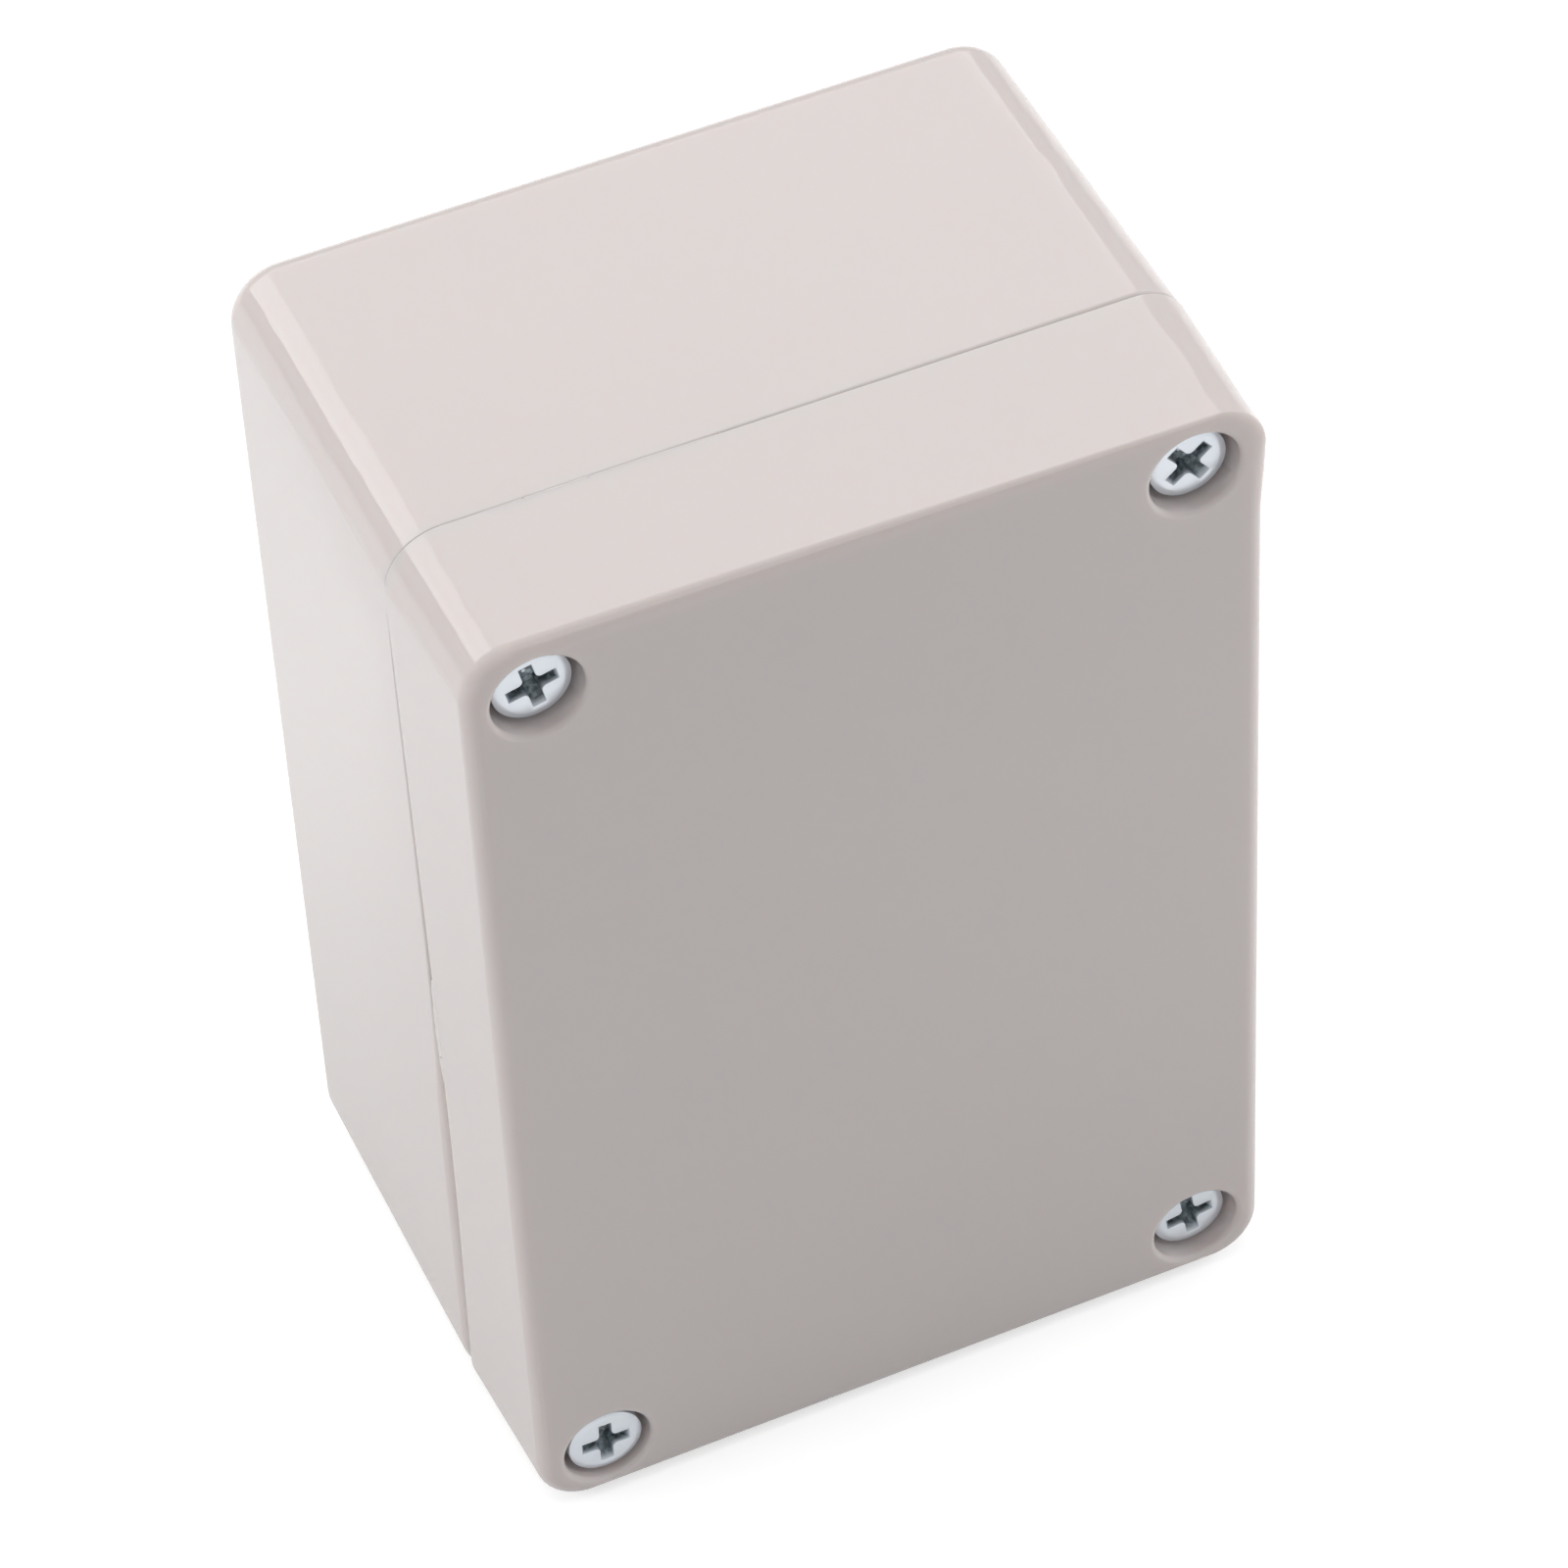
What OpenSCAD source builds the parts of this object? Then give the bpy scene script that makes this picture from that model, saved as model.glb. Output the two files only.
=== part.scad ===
// Plastic junction box with a deep base, a screwed lid and a rubber seal between them.
//
// The box stands on its lower short side, the way it hangs on a wall: +Z is up, the back
// lies at +Y and the lid faces -Y. The origin is on the ground, under the middle of the box.
// Every piece is drawn lying on its back first, with X across the box, Y along its height
// and Z from the back to the face of the lid, and is then stood up by one turn.
// Left and right are as seen by someone who faces the lid. Lengths are in millimetres.

/* [Box] */
// Width of the box, across the lid
box_w = 68; // [60:1:120]
// Height of the box, along the long side of the lid
box_h = 100; // [90:1:200]
// Depth of the box, from its back to the face of the lid
box_d = 50; // [42:1:90]
// Radius of the four corners, seen from the front
corner_r = 5; // [4:0.25:6.5]
// Thickness of the side walls of the base
wall = 3; // [2.6:0.1:4]
// Thickness of the back wall
back_t = 3; // [2:0.1:5]
// Radius of the rounded edge around the back
back_fillet = 2.5; // [0.5:0.1:3.5]
// How much each side of the base narrows from its rim to the back
base_draft = 0.1; // [0.05:0.05:0.6]
// Radius of the softened edge on the rim of the base
rim_r = 0.4; // [0.2:0.05:0.8]

/* [Lid] */
// Depth of the lid, from the seam to its face
lid_d = 14.7; // [11:0.1:20]
// Thickness of the face of the lid
face_t = 3; // [2:0.1:4]
// Radius of the rounded edge around the face
face_fillet = 1.5; // [0.5:0.1:2]
// How much each side of the lid narrows from the seam to the face
lid_draft = 0.5; // [0.1:0.05:0.8]
// Radius of the edge of the lid at the seam, which is nearly sharp
lid_rim_r = 0.1; // [0.05:0.05:0.4]
// How far the edge of the lid stands proud of the base
lid_overhang = 0.1; // [0.05:0.05:0.5]
// Open seam between the two rims
seam_gap = 0.2; // [0.1:0.05:0.5]

/* [Seal] */
// Width of the tongue on the rim of the base
tongue_w = 1.3; // [0.8:0.1:1.5]
// Height of the tongue above the rim of the base
tongue_h = 2.2; // [1.5:0.1:3]
// Room on each side of the tongue in the groove of the lid
groove_clearance = 0.2; // [0.1:0.05:0.3]
// Width of the lip that closes the groove towards the inside
groove_lip_w = 1.3; // [1:0.1:2]
// Thickness of the rubber seal at the bottom of the groove
seal_t = 1.4; // [1:0.1:2.5]
// Room between the seal and what is next to it
seal_clearance = 0.1; // [0.05:0.05:0.2]

/* [Lid screws] */
// Distance of each screw from the long side next to it
screw_inset_w = 6.6; // [6.2:0.1:8]
// Distance of each screw from the short side next to it
screw_inset_h = 5.9; // [5.8:0.1:8]
// Outer diameter of the thread
screw_d = 3.5; // [3:0.1:4]
// Length of the screw under its head
screw_l = 20; // [18:1:22]
// Length of the plain taper at the tip
screw_tip = 0.8; // [0.3:0.1:1.2]
// Diameter of the head
head_d = 6.4; // [5.8:0.1:7]
// Height of the head
head_h = 2.4; // [2:0.1:2.8]
// Width of the soft slope around the top of the head
head_slope_w = 0.55; // [0.2:0.05:0.8]
// Height of that slope
head_slope_h = 0.3; // [0.1:0.05:0.6]
// How far the top of the head lies below the face of the lid
head_sink = 1.45; // [0.5:0.05:1.8]
// How far the lower left screw stands above its seat
loose_rise = 0.9; // [0.1:0.1:1.3]
// Span of the cross recess at the top of the head
recess_span = 4.2; // [3.4:0.1:4.6]
// Width of the arms of the cross recess
recess_slot = 1; // [0.6:0.1:1.2]
// Diameter of the round centre of the cross recess
recess_centre_d = 1.9; // [1.5:0.1:2.4]
// Depth of the cross recess
recess_depth = 1.7; // [1:0.1:1.9]
// Diameter of the sunk seat for the head
counterbore_d = 7.8; // [7.4:0.1:8.4]
// Radius of the soft lip around the sunk seat
counterbore_lip = 0.5; // [0.2:0.05:0.7]
// Diameter of the screw hole through the lid
lid_hole_d = 3.9; // [3.8:0.1:4.4]
// Diameter of the shallow recess around the screw hole, on the rim side
lid_relief_d = 5.6; // [5.2:0.1:6.4]
// Depth of that recess
lid_relief_depth = 0.8; // [0.4:0.1:1.5]

/* [Inserts] */
// Outer diameter of the brass insert
insert_d = 5; // [4.6:0.1:5.4]
// Length of the brass insert
insert_l = 8; // [6:0.5:10]
// Room between the screw and the bore of the insert
thread_clearance = 0.05; // [0.03:0.01:0.1]
// How far the insert lies below the rim of the base
insert_sink = 0.3; // [0.1:0.1:1]
// Free depth of the column below the tip of the screw
tip_room = 2.5; // [1:0.5:5]

/* [Wall fixing] */
// Diameter of the holes for the screws that hold the box to a wall
fixing_d = 4.3; // [3.5:0.1:5]
// Diameter of the wells that lead to those holes
fixing_well_d = 7.5; // [6.5:0.1:8]
// Thickness of plastic left under the wells
fixing_seat_t = 4; // [2:0.1:8]
// Distance of each well from the lid screw beside it
fixing_step = 10.6; // [10:0.1:14]
// Plastic between the wells and the inside of the box
column_wall = 2.6; // [2.6:0.1:4]

/* [Board bosses] */
// Spacing of the bosses across the box
boss_pitch_w = 32; // [24:1:34]
// Spacing of the bosses along the height
boss_pitch_h = 80; // [60:1:84]
// Diameter of a boss
boss_d = 6; // [5:0.5:7]
// Height of a boss above the back wall
boss_h = 5; // [3:0.5:10]
// Diameter of the pilot hole in a boss
pilot_d = 2.5; // [2:0.1:3]

/* [Hidden] */
$fn = 64;

// Sides of the box that meet at each corner, as [across, along]
TOP_LEFT = [-1, 1];
TOP_RIGHT = [1, 1];
BOTTOM_LEFT = [-1, -1];
BOTTOM_RIGHT = [1, -1];
CORNERS = [TOP_LEFT, TOP_RIGHT, BOTTOM_LEFT, BOTTOM_RIGHT];

// How far each cross recess is turned, in degrees
turn_top_left = 13;
turn_top_right = 39;
turn_bottom_left = 0;
turn_bottom_right = 9;

// How far a cut runs past the face that it opens
overrun = 0.5;

// Levels above the back, in the lying position
seam_z = box_d - lid_d;
rim_z = seam_z - seam_gap;
tongue_top_z = rim_z + tongue_h;
seal_bottom_z = tongue_top_z + seal_clearance;
groove_top_z = seal_bottom_z + seal_t;
head_seat_z = box_d - head_sink - head_h;
screw_tip_z = head_seat_z - screw_l;
insert_top_z = rim_z - insert_sink;

// The base is a little smaller than the lid all round
base_w = box_w - 2 * lid_overhang;
base_h = box_h - 2 * lid_overhang;
base_corner_r = corner_r - lid_overhang;

// Corner columns, which keep the screws outside the seal
column_w = screw_inset_w + fixing_well_d / 2 + column_wall;
column_l = screw_inset_h + fixing_step + fixing_well_d / 2 + column_wall;
cavity_r = wall;

// Colours of the finishes
shell_colour = [0.78, 0.75, 0.74];
seal_colour = [0.15, 0.15, 0.16];
zinc_colour = [0.74, 0.77, 0.80];
brass_colour = [0.80, 0.62, 0.30];

// Stands a piece that was drawn lying on its back on the lower side of the box
module stood() {
    translate([0, box_d / 2, box_h / 2]) rotate([90, 0, 0]) children();
}

// Places something on the screw axis of one corner
module at_screw(corner) {
    translate([corner.x * (box_w / 2 - screw_inset_w), corner.y * (box_h / 2 - screw_inset_h), 0]) children();
}

// Places something on the well beside the screw of one corner
module at_fixing(corner) {
    at_screw(corner) translate([0, -corner.y * fixing_step, 0]) children();
}

// Half of the block's section: straight on the left, drafted and rounded on the right.
// It is full width at the rim, at the top, and narrower by the draft at the bottom.
module half_section(reach, depth, draft, far_r, near_r) {
    far_x = reach - draft;
    difference() {
        union() {
            polygon([
                [0, 0], [far_x - far_r, 0], [far_x, far_r],
                [reach, depth - near_r], [reach - near_r, depth], [0, depth],
            ]);
            translate([far_x - far_r, far_r]) circle(far_r);
            translate([reach - near_r, depth - near_r]) circle(near_r);
        }
        translate([-reach, -overrun]) square([reach, depth + 2 * overrun]);
    }
}

// A block with four round corners and drafted sides. Both of its ends have rounded edges.
module drafted_block(w, h, depth, r, draft, far_r, near_r) {
    for (side = [0, 1]) mirror([side, 0, 0]) {
        rotate([90, 0, 0]) linear_extrude(h - 2 * r, center = true)
            half_section(w / 2, depth, draft, far_r, near_r);
    }
    for (side = [0, 1]) mirror([0, side, 0]) {
        rotate([90, 0, 90]) linear_extrude(w - 2 * r, center = true)
            half_section(h / 2, depth, draft, far_r, near_r);
    }
    for (across = [0, 1], along = [0, 1]) mirror([across, 0, 0]) mirror([0, along, 0]) {
        translate([w / 2 - r, h / 2 - r, 0]) rotate_extrude(angle = 90)
            half_section(r, depth, draft, far_r, near_r);
    }
}

// A rectangle with round corners
module rounded_rectangle(w, h, r) {
    square([w - 2 * r, h], center = true);
    square([w, h - 2 * r], center = true);
    for (corner = CORNERS) translate([corner.x * (w / 2 - r), corner.y * (h / 2 - r)]) circle(r);
}

// Outline of the inside of the base: a cross, because each corner holds a column.
// grow moves the outline outwards, or inwards where it is less than zero.
module inside_outline(grow) {
    w = box_w - 2 * wall;
    h = box_h - 2 * wall;
    corner_w = column_w - wall;
    corner_l = column_l - wall;
    rounded_rectangle(w + 2 * grow, h - 2 * corner_l + 2 * grow, cavity_r + grow);
    rounded_rectangle(w - 2 * corner_w + 2 * grow, h + 2 * grow, cavity_r + grow);
}

// A band that follows the outline of the inside, between two distances from it
module outline_band(inner_grow, outer_grow, depth) {
    linear_extrude(depth) difference() {
        inside_outline(outer_grow);
        inside_outline(inner_grow);
    }
}

// The deep base, with its corner columns, its sealing tongue and the bosses for a board
module base_box() {
    color(shell_colour) stood() difference() {
        union() {
            difference() {
                drafted_block(base_w, base_h, rim_z, base_corner_r, base_draft, back_fillet, rim_r);
                translate([0, 0, back_t]) linear_extrude(box_d) inside_outline(0);
            }
            translate([0, 0, rim_z - rim_r]) outline_band(0, tongue_w, tongue_h + rim_r);
            for (corner = CORNERS) {
                translate([corner.x * boss_pitch_w / 2, corner.y * boss_pitch_h / 2, 0])
                    translate([0, 0, back_t / 2]) cylinder(h = back_t / 2 + boss_h, d = boss_d);
            }
        }
        for (corner = CORNERS) {
            at_screw(corner) column_bore();
            at_fixing(corner) fixing_bore();
            translate([corner.x * boss_pitch_w / 2, corner.y * boss_pitch_h / 2, back_t])
                cylinder(h = boss_h + overrun, d = pilot_d);
        }
    }
}

// Bore of a corner column: a seat for the insert and room for the screw below it
module column_bore() {
    translate([0, 0, insert_top_z - insert_l]) cylinder(h = box_d, d = insert_d);
    translate([0, 0, screw_tip_z - tip_room]) cylinder(h = box_d, d = lid_hole_d);
}

// Well and hole for a screw that holds the box to a wall
module fixing_bore() {
    translate([0, 0, fixing_seat_t]) cylinder(h = box_d, d = fixing_well_d);
    translate([0, 0, -overrun]) cylinder(h = box_d, d = fixing_d);
}

// The lid, with a sealing groove around its inside and a sunk seat for each screw
module lid_cover() {
    inside_inset = groove_clearance + groove_lip_w;
    color(shell_colour) stood() difference() {
        translate([0, 0, box_d]) mirror([0, 0, 1])
            drafted_block(box_w, box_h, lid_d, corner_r, lid_draft, face_fillet, lid_rim_r);
        translate([0, 0, seam_z - overrun]) linear_extrude(lid_d - face_t + overrun)
            inside_outline(-inside_inset);
        translate([0, 0, seam_z - overrun])
            outline_band(-groove_clearance, tongue_w + groove_clearance, groove_top_z - seam_z + overrun);
        for (corner = CORNERS) {
            at_screw(corner) lid_screw_bore();
            at_fixing(corner) translate([0, 0, seam_z - overrun])
                cylinder(h = lid_d - face_t + overrun, d = fixing_well_d);
        }
    }
}

// Screw hole of the lid: a sunk seat with a soft lip, a through hole and a relief at the rim
module lid_screw_bore() {
    seat_r = counterbore_d / 2;
    translate([0, 0, head_seat_z]) cylinder(h = box_d, d = counterbore_d);
    translate([0, 0, seam_z - overrun]) cylinder(h = box_d, d = lid_hole_d);
    translate([0, 0, seam_z - overrun]) cylinder(h = lid_relief_depth + overrun, d = lid_relief_d);
    translate([0, 0, box_d - counterbore_lip]) rotate_extrude() difference() {
        square([seat_r + counterbore_lip, counterbore_lip + overrun]);
        translate([seat_r + counterbore_lip, 0]) circle(counterbore_lip);
    }
}

// The rubber seal, a flat band at the bottom of the groove
module lid_seal() {
    side = groove_clearance - seal_clearance;
    color(seal_colour) stood() translate([0, 0, seal_bottom_z])
        outline_band(-side, tongue_w + side, seal_t);
}

// A lid screw in one corner, with its cross recess turned and its head raised off the seat
module lid_screw(corner, turn, rise) {
    color(zinc_colour) stood() at_screw(corner) translate([0, 0, head_seat_z + rise]) {
        difference() {
            rotate_extrude() polygon([
                [0, 0], [head_d / 2, 0], [head_d / 2, head_h - head_slope_h],
                [head_d / 2 - head_slope_w, head_h], [0, head_h],
            ]);
            translate([0, 0, head_h]) rotate([0, 0, turn]) cross_recess();
        }
        translate([0, 0, -screw_l]) rotate_extrude() polygon([
            [0, 0], [screw_d / 2 - screw_tip / 2, 0], [screw_d / 2, screw_tip],
            [screw_d / 2, screw_l + head_h / 4], [0, screw_l + head_h / 4],
        ]);
    }
}

// Cross recess, measured down from the top of the head: two arms and a round centre, all of
// which narrow towards the bottom
module cross_recess() {
    top = recess_span / 2;
    bottom = top / 2;
    centre = recess_centre_d / 2;
    rotate_extrude() polygon([
        [0, -recess_depth], [centre / 2, -recess_depth], [centre, 0], [centre, overrun], [0, overrun],
    ]);
    for (arm = [0, 90]) rotate([90, 0, arm]) linear_extrude(recess_slot, center = true)
        polygon([[-top, overrun], [-top, 0], [-bottom, -recess_depth], [bottom, -recess_depth],
                 [top, 0], [top, overrun]]);
}

// The threaded brass insert at the top of one corner column
module brass_insert(corner) {
    color(brass_colour) stood() at_screw(corner) translate([0, 0, insert_top_z - insert_l]) difference() {
        cylinder(h = insert_l, d = insert_d);
        translate([0, 0, -overrun]) cylinder(h = insert_l + 2 * overrun, d = screw_d + 2 * thread_clearance);
    }
}

base_box();
lid_cover();
lid_seal();
lid_screw(TOP_LEFT, turn_top_left, 0);  // lid_screw_top_left
lid_screw(TOP_RIGHT, turn_top_right, 0);  // lid_screw_top_right
lid_screw(BOTTOM_LEFT, turn_bottom_left, loose_rise);  // lid_screw_bottom_left
lid_screw(BOTTOM_RIGHT, turn_bottom_right, 0);  // lid_screw_bottom_right
brass_insert(TOP_LEFT);  // brass_insert_top_left
brass_insert(TOP_RIGHT);  // brass_insert_top_right
brass_insert(BOTTOM_LEFT);  // brass_insert_bottom_left
brass_insert(BOTTOM_RIGHT);  // brass_insert_bottom_right
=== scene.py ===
# %% [markdown]
# # A plastic junction box, dressed for its photograph
#
# The object is a deep moulded box with a screwed lid. Its pieces already exist at their real
# size as solids, and this script gives them their looks: smooth moulded plastic, zinc-plated
# screws with real threads, knurled brass inserts and a rubber seal. It goes from the camera and
# the light to the finishes, and then to one piece after another. Blender works in metres here.

# %% Load the solid model
import math

import bmesh
import bpy
from mathutils import Matrix, Vector


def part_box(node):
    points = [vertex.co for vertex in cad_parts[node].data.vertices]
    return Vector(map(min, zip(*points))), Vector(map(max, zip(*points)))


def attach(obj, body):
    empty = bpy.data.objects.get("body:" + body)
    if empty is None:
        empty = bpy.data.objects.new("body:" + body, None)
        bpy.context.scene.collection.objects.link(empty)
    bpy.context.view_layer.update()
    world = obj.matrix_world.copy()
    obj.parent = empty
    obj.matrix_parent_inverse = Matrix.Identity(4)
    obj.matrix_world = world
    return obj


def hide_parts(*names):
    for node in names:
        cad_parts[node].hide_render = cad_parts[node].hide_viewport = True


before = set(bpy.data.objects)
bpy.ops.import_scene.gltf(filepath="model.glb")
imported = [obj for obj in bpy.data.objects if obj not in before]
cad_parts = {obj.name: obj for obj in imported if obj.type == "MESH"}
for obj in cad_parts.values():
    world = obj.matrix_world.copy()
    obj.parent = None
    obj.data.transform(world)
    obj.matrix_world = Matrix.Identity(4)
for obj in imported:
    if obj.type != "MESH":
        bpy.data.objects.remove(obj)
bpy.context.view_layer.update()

MM = 0.001

# %% [markdown]
# ## Where things are
#
# Every place in this script is read from the solids, so nothing has to be fitted by hand. The
# box stands on its short side: X runs across it, Z up, and the lid faces -Y. The two shells
# give the seam, and each screw's own box gives its axis and how deep its head sits.

# %% Measure the frame
CORNERS = ("top_left", "top_right", "bottom_left", "bottom_right")
lid_low, lid_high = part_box("lid_cover")
base_low, base_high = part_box("base_box")
seam_y = lid_high.y
face_y = lid_low.y
screw_axes = {}
for corner in CORNERS:
    low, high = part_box("lid_screw_" + corner)
    screw_axes[corner] = ((low.x + high.x) / 2, (low.z + high.z) / 2)
print("seam at", round(seam_y / MM, 2), "face at", round(face_y / MM, 2))
print("screw axes, mm:", {c: (round(x / MM, 2), round(z / MM, 2)) for c, (x, z) in screw_axes.items()})

# %% [markdown]
# ## The camera
#
# The photograph looks down on the box from its left, at almost half a right angle, with a long
# lens and a slightly tilted camera. A camera is easiest to read as a point that it looks at, a
# distance, two angles round that point and a roll. The three axes of the camera are worked out
# from the angles and written into its rotation.

# %% Place the camera
camera_target = Vector((1.37, -0.93, 49.65)) * MM
camera_distance = 605.2 * MM
camera_azimuth = math.radians(-21.56)
camera_elevation = math.radians(45.68)
camera_roll = math.radians(3.29)
camera_lens = 168.58

back = Vector((
    math.sin(camera_azimuth) * math.cos(camera_elevation),
    -math.cos(camera_azimuth) * math.cos(camera_elevation),
    math.sin(camera_elevation),
))
level_right = Vector((0, 0, 1)).cross(back).normalized()
level_up = back.cross(level_right)
right = level_right * math.cos(camera_roll) - level_up * math.sin(camera_roll)
up = back.cross(right)

camera_data = bpy.data.cameras.new("Photo Camera")
camera_data.sensor_width = 36.0
camera_data.lens = camera_lens
camera = bpy.data.objects.new("Photo Camera", camera_data)
bpy.context.scene.collection.objects.link(camera)
camera.matrix_world = Matrix((
    (right.x, up.x, back.x, 0),
    (right.y, up.y, back.y, 0),
    (right.z, up.z, back.z, 0),
    (0, 0, 0, 1),
))
camera.location = camera_target + back * camera_distance
bpy.context.scene.camera = camera
print("camera at, mm:", [round(v / MM, 1) for v in camera.location])

# %% [markdown]
# ## Light and background
#
# The photograph is evenly lit from above, from behind and from the left, so the top and the
# left side are pale and the lid, which faces away from the light, is about a stop darker. Four
# large soft lamps and the world give that light. What glossy rays see is set apart, because a
# smooth plastic mirrors the studio along its round edges: a card behind the box is mirrored in
# the top and ends in a crisp line where the edge of the lid turns down, and a brighter card is
# the pale stripe along the rounded corner. The floor has a painted reflection: a glow that only
# glossy rays see, dimmed near the box as painted shade where the box would shade it. The camera
# sees white behind the object.

# %% Helpers for node trees
def add_node(tree, kind, **settings):
    """A node of that kind, with its settings, and with its unlinked inputs set by name or number."""
    node = tree.nodes.new(kind)
    entries = settings.pop("inputs", {})
    for name, value in settings.items():
        setattr(node, name, value)
    for socket, entry in entries.items():
        node.inputs[socket].default_value = entry
    return node


def plain(value):
    """The socket of a number, or the value as it is."""
    return getattr(value, "socket", value)


def feed(value, socket):
    """Links a number or a socket to an input, or writes a plain value into it."""
    value = plain(value)
    if isinstance(value, bpy.types.NodeSocket):
        socket.id_data.links.new(value, socket)
    else:
        socket.default_value = value


def join(*chain):
    """Feeds one value to the next socket, in pairs: from, to, from, to."""
    for start, end in zip(chain[::2], chain[1::2]):
        feed(start, end)


def maths(operation, *values):
    """A Math node on sockets and plain values, in the tree of the first socket, as a number."""
    values = [plain(value) for value in values]
    tree = next(value.id_data for value in values if isinstance(value, bpy.types.NodeSocket))
    node = add_node(tree, "ShaderNodeMath", operation=operation)
    join(*[end for pair in zip(values, node.inputs) for end in pair])
    return Number(node.outputs[0])


class Number:
    """A socket that takes part in sums. Each sum adds a Math node to its tree."""

    def __init__(self, socket):
        self.socket = socket

    def __add__(self, other):
        return maths("ADD", self, other)

    def __sub__(self, other):
        return maths("SUBTRACT", self, other)

    def __mul__(self, other):
        return maths("MULTIPLY", self, other)

    def __truediv__(self, other):
        return maths("DIVIDE", self, other)

    def __rtruediv__(self, other):
        return maths("DIVIDE", other, self)


# %% The world
ambient_strength = 0.46
ambient_colour = (0.975, 0.99, 1.0, 1)
mirrored_strength = 0.35

world = bpy.data.worlds.new("Studio")
bpy.context.scene.world = world
world.use_nodes = True
tree = world.node_tree
tree.nodes.clear()
path = add_node(tree, "ShaderNodeLightPath")
mirrored = maths("MAXIMUM", path.outputs["Is Glossy Ray"], path.outputs["Is Transmission Ray"])
quiet = add_node(tree, "ShaderNodeMix", inputs={2: ambient_strength, 3: mirrored_strength})
shown = add_node(tree, "ShaderNodeMix", inputs={3: 1.0})
tint = add_node(tree, "ShaderNodeMix", data_type="RGBA", inputs={6: ambient_colour, 7: (1, 1, 1, 1)})
sky = add_node(tree, "ShaderNodeBackground")
world_out = add_node(tree, "ShaderNodeOutputWorld")
join(mirrored, quiet.inputs[0], quiet.outputs[0], shown.inputs[2],
     path.outputs["Is Camera Ray"], shown.inputs[0], shown.outputs[0], sky.inputs["Strength"],
     path.outputs["Is Camera Ray"], tint.inputs[0], tint.outputs[2], sky.inputs["Color"],
     sky.outputs[0], world_out.inputs[0])

# %% The floor
floor_size = 6.0
floor_grey = 0.66
floor_glow = 0.58
painted_floor_sheen = 0.48
shaded_share = 0.6
shaded_reach = 60 * MM

half = floor_size / 2
floor_mesh = bpy.data.meshes.new("Floor")
floor_corners = [(-half, -half, 0), (half, -half, 0), (half, half, 0), (-half, half, 0)]
floor_mesh.from_pydata(floor_corners, [], [(0, 1, 2, 3)])
floor = bpy.data.objects.new("Floor", floor_mesh)
bpy.context.scene.collection.objects.link(floor)

floor_finish = bpy.data.materials.new("Pale Floor")
floor_finish.use_nodes = True
tree = floor_finish.node_tree
tree.nodes.clear()
path = add_node(tree, "ShaderNodeLightPath")
seen = maths("MAXIMUM", path.outputs["Is Camera Ray"], path.outputs["Is Transmission Ray"]) * floor_glow
# A painted reflection: glossy rays see a glow on the floor, and painted shade dims it near the box.
painted_floor_reflection = Number(path.outputs["Is Glossy Ray"]) * painted_floor_sheen
any_height = 1.0
box_foot = ((lid_high.x - lid_low.x) / 2, -face_y, any_height)
unsigned = add_node(tree, "ShaderNodeVectorMath", operation="ABSOLUTE")
beyond = add_node(tree, "ShaderNodeVectorMath", operation="SUBTRACT", inputs={1: box_foot})
outside = add_node(tree, "ShaderNodeVectorMath", operation="MAXIMUM", inputs={1: (0, 0, 0)})
from_box = add_node(tree, "ShaderNodeVectorMath", operation="LENGTH")
painted_shade_falloff = add_node(tree, "ShaderNodeMapRange", interpolation_type="SMOOTHSTEP",
                      inputs={2: shaded_reach, 3: shaded_share, 4: 1.0})
join(add_node(tree, "ShaderNodeTexCoord").outputs["Object"], unsigned.inputs[0],
     unsigned.outputs[0], beyond.inputs[0], beyond.outputs[0], outside.inputs[0],
     outside.outputs[0], from_box.inputs[0], from_box.outputs["Value"], painted_shade_falloff.inputs[0])
glow = add_node(tree, "ShaderNodeEmission")
matt = add_node(tree, "ShaderNodeBsdfDiffuse", inputs={"Color": (floor_grey, floor_grey, floor_grey, 1)})
both = add_node(tree, "ShaderNodeAddShader")
floor_out = add_node(tree, "ShaderNodeOutputMaterial")
join(maths("MAXIMUM", seen, painted_floor_reflection * painted_shade_falloff.outputs[0]), glow.inputs["Strength"],
     matt.outputs[0], both.inputs[0], glow.outputs[0], both.inputs[1], both.outputs[0], floor_out.inputs[0])
floor_mesh.materials.append(floor_finish)


# %% The lamps
box_middle = Vector((0, 0, 0.05))


def soft_lamp(name, direction, distance, size, watts, colour):
    """A square area lamp that aims at the box from a direction. Glossy rays don't see it."""
    lamp_data = bpy.data.lights.new(name, "AREA")
    lamp_data.size = size
    lamp_data.energy = watts
    lamp_data.color = colour
    lamp = bpy.data.objects.new(name, lamp_data)
    lamp.location = box_middle + Vector(direction).normalized() * distance
    lamp.rotation_mode = "QUATERNION"
    lamp.rotation_quaternion = (box_middle - lamp.location).to_track_quat("-Z", "Y")
    lamp.visible_glossy = False
    bpy.context.scene.collection.objects.link(lamp)


soft_lamp("Overhead Lamp", (-0.08, 0.0, 1.0), 1.15, 1.0, 2.5, (1.0, 0.975, 0.945))
soft_lamp("Back Lamp", (-0.08, 0.77, 0.64), 1.15, 1.0, 3.9, (1.0, 0.975, 0.945))
soft_lamp("Left Lamp", (-0.85, 0.15, 0.48), 0.8, 0.5, 1.9, (1.0, 1.0, 1.0))
soft_lamp("Right Lamp", (0.93, -0.14, 0.35), 0.5, 0.3, 1.0, (1.0, 1.0, 1.0))


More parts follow.
